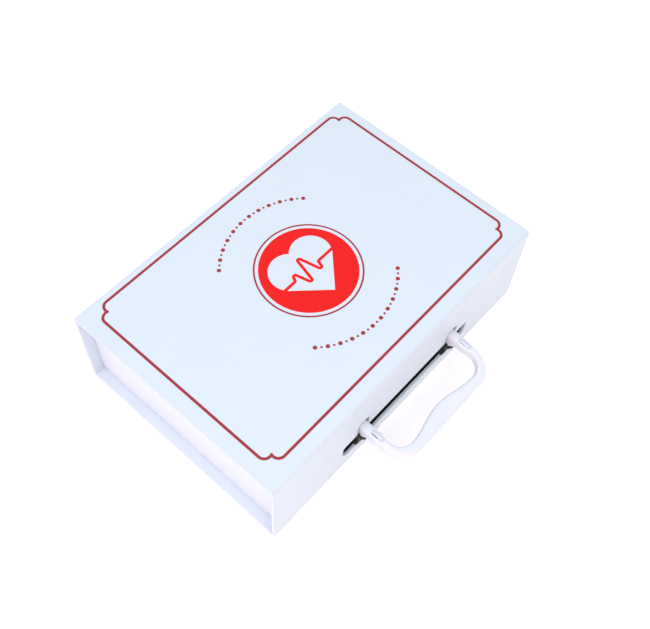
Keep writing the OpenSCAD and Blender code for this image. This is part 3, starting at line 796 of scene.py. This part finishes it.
def make_rubbed_edges():
    """Rubbed edges: the piece's own edge mask, broken up by noise."""
    tree, place, given, out = new_tree(
        "rubbed_edges", {"Break-up per mm": 0.3, "Amount": 0.6}, ("Mask",))
    edge = put(tree, "ShaderNodeAttribute", attribute_name="rub").outputs["Fac"]
    broken = noise(tree, place, given["Break-up per mm"], 4.0, Roughness=0.7)
    mask = maths(tree, "MULTIPLY", edge, between(tree, broken, 0.42, 0.68))
    feed(tree, out["Mask"], maths(tree, "MULTIPLY", mask, given["Amount"], clamp=True))
    return tree


def make_handling():
    """Handling marks: slow smears and a few small specks, as one mask."""
    tree, place, given, out = new_tree("handling_marks", {"Smears per mm": 0.02}, ("Mask",))
    smear = noise(tree, place, given["Smears per mm"], 5.0, Distortion=1.2)
    cell = put(tree, "ShaderNodeTexVoronoi", {"Vector": place, "Scale": 0.11, "Randomness": 1.0})
    speck = between(tree, cell.outputs["Distance"], 0.05, 0.02)
    feed(tree, out["Mask"], maths(tree, "MAXIMUM", between(tree, smear, 0.45, 0.7), speck))
    return tree


def make_flecks():
    """Flecks: small cells of which only some stand out, as one mask."""
    tree, place, given, out = new_tree("flecks", {"Flecks per mm": 0.6, "Share": 0.2}, ("Mask",))
    cell = put(tree, "ShaderNodeTexVoronoi",
               {"Vector": place, "Scale": given["Flecks per mm"], "Randomness": 1.0})
    draw = put(tree, "ShaderNodeSeparateColor", {"Color": cell.outputs["Color"]}).outputs[0]
    chosen = maths(tree, "LESS_THAN", draw, given["Share"])
    spot = between(tree, cell.outputs["Distance"], 0.32, 0.18)
    feed(tree, out["Mask"], maths(tree, "MULTIPLY", chosen, spot))
    return tree


def make_moulded_grain():
    """Moulded grain: the fine even spark-eroded grain of a mould, and its flow marks."""
    tree, place, given, out = new_tree("moulded_grain", {"Grain per mm": 4.0},
                                       ("Height", "Tint"))
    fine = noise(tree, place, given["Grain per mm"], 2.0)
    flow = noise(tree, place, 0.09, 3.0, Distortion=1.5)
    feed(tree, out["Height"], maths(tree, "ADD", fine, maths(tree, "MULTIPLY", flow, 1.5)))
    feed(tree, out["Tint"], between(tree, flow, 0.35, 0.65))
    return tree


SHEET_GRAIN, RUBBED_EDGES, HANDLING = make_sheet_grain(), make_rubbed_edges(), make_handling()
FLECKS, MOULDED_GRAIN = make_flecks(), make_moulded_grain()


# ---------------------------------------------------------------- finishes
def blank(name, roughness, metallic=0.0, specular=0.5, coat=0.0, coat_roughness=0.2):
    """A material with its shader, and the object's own place in mm to lay patterns by."""
    m = bpy.data.materials.new(name)
    m.use_nodes = True
    tree = m.node_tree
    shader = tree.nodes["Principled BSDF"]
    for label, value in (("Roughness", roughness), ("Metallic", metallic),
                         ("Specular IOR Level", specular), ("Coat Weight", coat),
                         ("Coat Roughness", coat_roughness)):
        shader.inputs[label].default_value = value
    own = put(tree, "ShaderNodeTexCoord").outputs["Object"]
    place = put(tree, "ShaderNodeVectorMath", {0: own, "Scale": 1 / MM}, operation="SCALE")
    return m, tree, shader, place.outputs[0]


def laminated(name, colour, tinted, worn, roughness, rubbed=0.55, specular=0.4):
    """Printed art paper under a thin clear film: even, a little glossy, rubbed at its edges."""
    m, tree, shader, place = blank(name, roughness, specular=specular, coat=0.12,
                                   coat_roughness=0.25)
    grain = use(tree, SHEET_GRAIN,
                {"Place mm": place, "Grain per mm": 1.6, "Fibres": 0.25, "Waves": 3.0})
    rub = use(tree, RUBBED_EDGES, {"Place mm": place, "Break-up per mm": 0.35, "Amount": rubbed})
    marks = use(tree, HANDLING, {"Place mm": place, "Smears per mm": 0.018})
    tone = mixed(tree, grain["Tint"], colour, tinted)
    feed(tree, shader.inputs["Base Color"], mixed(tree, rub["Mask"], tone, worn))
    rough = maths(tree, "ADD", maths(tree, "MULTIPLY", marks["Mask"], 0.10),
                  maths(tree, "MULTIPLY", rub["Mask"], 0.3))
    feed(tree, shader.inputs["Roughness"], maths(tree, "ADD", rough, roughness))
    bumped(tree, shader, grain["Height"], 0.35, 0.012)
    return m


def uncoated(name, colour, tinted, fleck, share, roughness=0.85):
    """Plain lining paper: open fibres, a few flecks, no gloss."""
    m, tree, shader, place = blank(name, roughness, specular=0.25)
    grain = use(tree, SHEET_GRAIN,
                {"Place mm": place, "Grain per mm": 2.6, "Fibres": 1.6, "Waves": 1.5})
    spots = use(tree, FLECKS, {"Place mm": place, "Flecks per mm": 0.5, "Share": share})
    marks = use(tree, HANDLING, {"Place mm": place, "Smears per mm": 0.02})
    tone = mixed(tree, grain["Tint"], colour, tinted)
    tone = mixed(tree, maths(tree, "MULTIPLY", spots["Mask"], 0.5), tone, fleck)
    feed(tree, shader.inputs["Base Color"], tone)
    polish = maths(tree, "MULTIPLY", marks["Mask"], 0.12)
    feed(tree, shader.inputs["Roughness"], maths(tree, "SUBTRACT", roughness, polish))
    bumped(tree, shader, grain["Height"], 0.6, 0.03)
    return m


def moulded(name, colour, tinted, worn, roughness, grain_per_mm, strength):
    """Injection-moulded plastic: fine grain, faint flow marks, edges polished by hands."""
    m, tree, shader, place = blank(name, roughness)
    grain = use(tree, MOULDED_GRAIN, {"Place mm": place, "Grain per mm": grain_per_mm})
    rub = use(tree, RUBBED_EDGES, {"Place mm": place, "Break-up per mm": 0.5, "Amount": 0.4})
    marks = use(tree, HANDLING, {"Place mm": place, "Smears per mm": 0.05})
    tone = mixed(tree, grain["Tint"], colour, tinted)
    feed(tree, shader.inputs["Base Color"], mixed(tree, rub["Mask"], tone, worn))
    smears = maths(tree, "MULTIPLY", marks["Mask"], 0.12)
    feed(tree, shader.inputs["Roughness"], maths(tree, "ADD", roughness, smears))
    bumped(tree, shader, grain["Height"], strength, 0.02)
    return m


def board_finish():
    """Greyboard: pressed recycled fibre, flecked dark and light."""
    m, tree, shader, place = blank("greyboard", 0.9, specular=0.2)
    grain = use(tree, SHEET_GRAIN,
                {"Place mm": place, "Grain per mm": 1.4, "Fibres": 2.0, "Waves": 0.5})
    dark = use(tree, FLECKS, {"Place mm": place, "Flecks per mm": 0.9, "Share": 0.25})
    light = use(tree, FLECKS, {"Place mm": place, "Flecks per mm": 1.7, "Share": 0.2})
    tone = mixed(tree, grain["Tint"], (0.33, 0.30, 0.25), (0.42, 0.39, 0.33))
    tone = mixed(tree, maths(tree, "MULTIPLY", dark["Mask"], 0.6), tone, (0.13, 0.12, 0.11))
    tone = mixed(tree, maths(tree, "MULTIPLY", light["Mask"], 0.5), tone, (0.62, 0.60, 0.55))
    feed(tree, shader.inputs["Base Color"], tone)
    bumped(tree, shader, grain["Height"], 0.8, 0.06)
    return m


def tape_finish():
    """Gummed kraft tape: brown fibre with fine laid lines."""
    m, tree, shader, place = blank("kraft_tape", 0.75, specular=0.3)
    grain = use(tree, SHEET_GRAIN,
                {"Place mm": place, "Grain per mm": 1.8, "Fibres": 1.8, "Waves": 1.0})
    lines = put(tree, "ShaderNodeTexWave",
                {"Vector": place, "Scale": 1.1, "Distortion": 1.5, "Detail": 2.0},
                bands_direction="Z").outputs["Fac"]
    tone = mixed(tree, grain["Tint"], (0.40, 0.26, 0.14), (0.50, 0.34, 0.19))
    tone = mixed(tree, maths(tree, "MULTIPLY", lines, 0.25), tone, (0.31, 0.20, 0.11))
    feed(tree, shader.inputs["Base Color"], tone)
    bumped(tree, shader, grain["Height"], 0.6, 0.03)
    return m


def metal_finish(name, colour, dulled, roughness, band):
    """Bright metal with the fine lines of drawing or plating, dulled in patches."""
    m, tree, shader, place = blank(name, roughness, metallic=1.0)
    marks = use(tree, HANDLING, {"Place mm": place, "Smears per mm": 0.12})
    lines = put(tree, "ShaderNodeTexWave",
                {"Vector": place, "Scale": 3.0, "Distortion": 2.0, "Detail": 3.0},
                bands_direction=band).outputs["Fac"]
    feed(tree, shader.inputs["Base Color"], mixed(tree, marks["Mask"], colour, dulled))
    dull = maths(tree, "MULTIPLY", marks["Mask"], 0.2)
    feed(tree, shader.inputs["Roughness"], maths(tree, "ADD", roughness, dull))
    bumped(tree, shader, lines, 0.25, 0.01)
    return m


# Each finish has its colour, the colour it is tinted with, and the one it wears to
paper = laminated("covering_paper", (0.725, 0.785, 0.855), (0.71, 0.77, 0.843),
                  (0.64, 0.63, 0.63), 0.42)
red_ink = laminated("red_ink", (0.92, 0.004, 0.002), (0.86, 0.003, 0.002), (0.80, 0.25, 0.22),
                    0.45, rubbed=0.0, specular=0.25)
deep_ink = laminated("deep_red_ink", (0.39, 0.037, 0.048), (0.36, 0.031, 0.042),
                     (0.66, 0.25, 0.25), 0.45, rubbed=0.0, specular=0.25)
white_plastic = moulded("handle_plastic", (0.83, 0.835, 0.90), (0.815, 0.82, 0.89),
                        (0.86, 0.86, 0.90), 0.33, 5.0, 0.12)
finish_of = {
    "covering_paper": paper,
    "handle_plastic": white_plastic,
    "white_lining_paper": uncoated("white_lining_paper", (0.83, 0.82, 0.85),
                                   (0.80, 0.79, 0.82), (0.66, 0.65, 0.62), 0.12),
    # The black lining paper is painted shade: it makes the slot and the window behind the flap
    # read black, where the case shows only shadow
    "black_lining_paper": uncoated("black_lining_paper", (0.018, 0.018, 0.021),
                                   (0.030, 0.030, 0.034), (0.06, 0.06, 0.06), 0.15, 0.78),
    # The brackets' black is painted shade: it makes the slot beside the handle's feet read
    # black, where the case shows only shadow
    "bracket_plastic": moulded("bracket_plastic", (0.012, 0.012, 0.014), (0.020, 0.020, 0.022),
                               (0.06, 0.06, 0.065), 0.5, 3.0, 0.4),
    "greyboard": board_finish(),
    "kraft_tape": tape_finish(),
    "magnet_nickel": metal_finish("magnet_nickel", (0.66, 0.63, 0.58), (0.50, 0.48, 0.44), 0.22,
                                  "DIAGONAL"),
    "pin_steel": metal_finish("pin_steel", (0.60, 0.60, 0.61), (0.42, 0.42, 0.43), 0.26, "X"),
}
for part in frame["record"]["subparts"]:
    solid = frame["nodes"][part["node"]]
    solid.data.materials.clear()
    solid.data.materials.append(finish_of[part["material_slot"]])

# ---------------------------------------------------------------- the pieces
front_top, back_top = (-CREASE_Y, LID_Z), (CREASE_Y, LID_Z)
back_bottom = (CREASE_Y, PANEL_T)
covered_board("lid_cover", crease(front_top, 135, 90) + straight(front_top, back_top, 90)
              + crease(back_top, 90, 45), "lid", ("lid_wrap",), paper)
covered_board("spine_cover", crease(back_bottom, -45, 0) + straight(back_bottom, back_top, 0)
              + crease(back_top, 0, 45), "case", ("spine_wrap",), paper)
covered_board("base_cover", free_end((BASE_FRONT_Y, PANEL_T), (1, 0), -90, EDGE_R)
              + straight((BASE_FRONT_Y + EDGE_R, PANEL_T), back_bottom, -90)
              + crease(back_bottom, -90, -45), "case", ("base_wrap",), paper)
make_flap(paper)
make_tray(paper)
make_handle(white_plastic)
make_roundel(red_ink)
make_line_print(deep_ink)

# ---------------------------------------------------------------- camera
# The photograph's view: a camera set by the case's corners, in mm and degrees
camera_data = bpy.data.cameras.new("camera")
camera_data.sensor_fit = "HORIZONTAL"
camera_data.sensor_width, camera_data.lens = 36.0, 51.77
camera_data.clip_start, camera_data.clip_end = 0.01, 50.0
camera = bpy.data.objects.new("camera", camera_data)
bpy.context.scene.collection.objects.link(camera)
camera_place = Vector((-296.889, -251.429, 680.526)) * MM
camera_turn = Euler([math.radians(a) for a in (30.7915, -2.0443, -48.2762)])
camera.matrix_world = Matrix.Translation(camera_place) @ camera_turn.to_matrix().to_4x4()
bpy.context.scene.camera = camera


# ---------------------------------------------------------------- floor and light
def floor_finish():
    """A white studio table, lit a little from below."""
    m, tree, shader, place = blank("floor_white", 0.65, specular=0.1)
    grain = use(tree, SHEET_GRAIN,
                {"Place mm": place, "Grain per mm": 0.4, "Fibres": 0.3, "Waves": 0.5})
    tone = mixed(tree, grain["Tint"], (0.97, 0.97, 0.97), (0.96, 0.965, 0.97))
    feed(tree, shader.inputs["Base Color"], tone)
    feed(tree, shader.inputs["Emission Color"], (1.0, 0.84, 0.82))
    feed(tree, shader.inputs["Emission Strength"], 0.22)
    return m


floor_mesh = bpy.data.meshes.new("floor")
floor_mesh.from_pydata([(-6, -6, 0), (6, -6, 0), (6, 6, 0), (-6, 6, 0)], [], [(0, 1, 2, 3)])
floor_mesh.materials.append(floor_finish())
floor = bpy.data.objects.new("floor", floor_mesh)
bpy.context.scene.collection.objects.link(floor)

world = bpy.data.worlds.new("studio")
bpy.context.scene.view_settings.view_transform = "Standard"
bpy.context.scene.world = world
world.use_nodes = True
# A white room that lights the case bluish from overhead, pinkish from the left and warm
# and dim from the front, and is plain white where the camera sees it
room = world.node_tree
facing = put(room, "ShaderNodeSeparateXYZ",
             {0: put(room, "ShaderNodeTexCoord").outputs["Generated"]}).outputs
to_left = maths(room, "MULTIPLY", facing["X"], -1.0, clamp=True)
to_front = maths(room, "MULTIPLY", facing["Y"], -1.0, clamp=True)
walls = mixed(room, to_left, (0.80, 0.80, 0.82), (1.9, 1.12, 1.35))
walls = mixed(room, to_front, walls, (0.36, 0.14, 0.08))
glow = mixed(room, between(room, facing["Z"], 0.05, 0.75), walls, (0.66, 0.78, 0.84))
seen = put(room, "ShaderNodeLightPath").outputs["Is Camera Ray"]
background = room.nodes["Background"].inputs
feed(room, background["Color"], mixed(room, seen, glow, (1.0, 1.0, 1.0)))
feed(room, background["Strength"], 1.0)


def softbox(name, place, aim, size, power, colour):
    """A square soft light of that size at place, turned towards aim, all in metres."""
    data = bpy.data.lights.new(name, "AREA")
    data.shape, data.size, data.energy, data.color = "SQUARE", size, power, colour
    light = bpy.data.objects.new(name, data)
    bpy.context.scene.collection.objects.link(light)
    back = np.array(place, float) - np.array(aim, float)
    back /= np.linalg.norm(back)
    side = np.cross((0.0, 1.0, 0.0), back)
    side /= np.linalg.norm(side)
    m = np.eye(4)
    m[:3, 0], m[:3, 1], m[:3, 2], m[:3, 3] = side, np.cross(back, side), back, place
    light.matrix_world = Matrix(m.tolist())


softbox("front_key", (-0.3, -1.05, 1.5), (0, 0, 0.05), 1.1, 7, (1.0, 0.96, 0.93))
softbox("left_key", (-0.95, -0.1, 1.6), (0, 0, 0.05), 1.1, 9, (1.0, 0.95, 0.98))
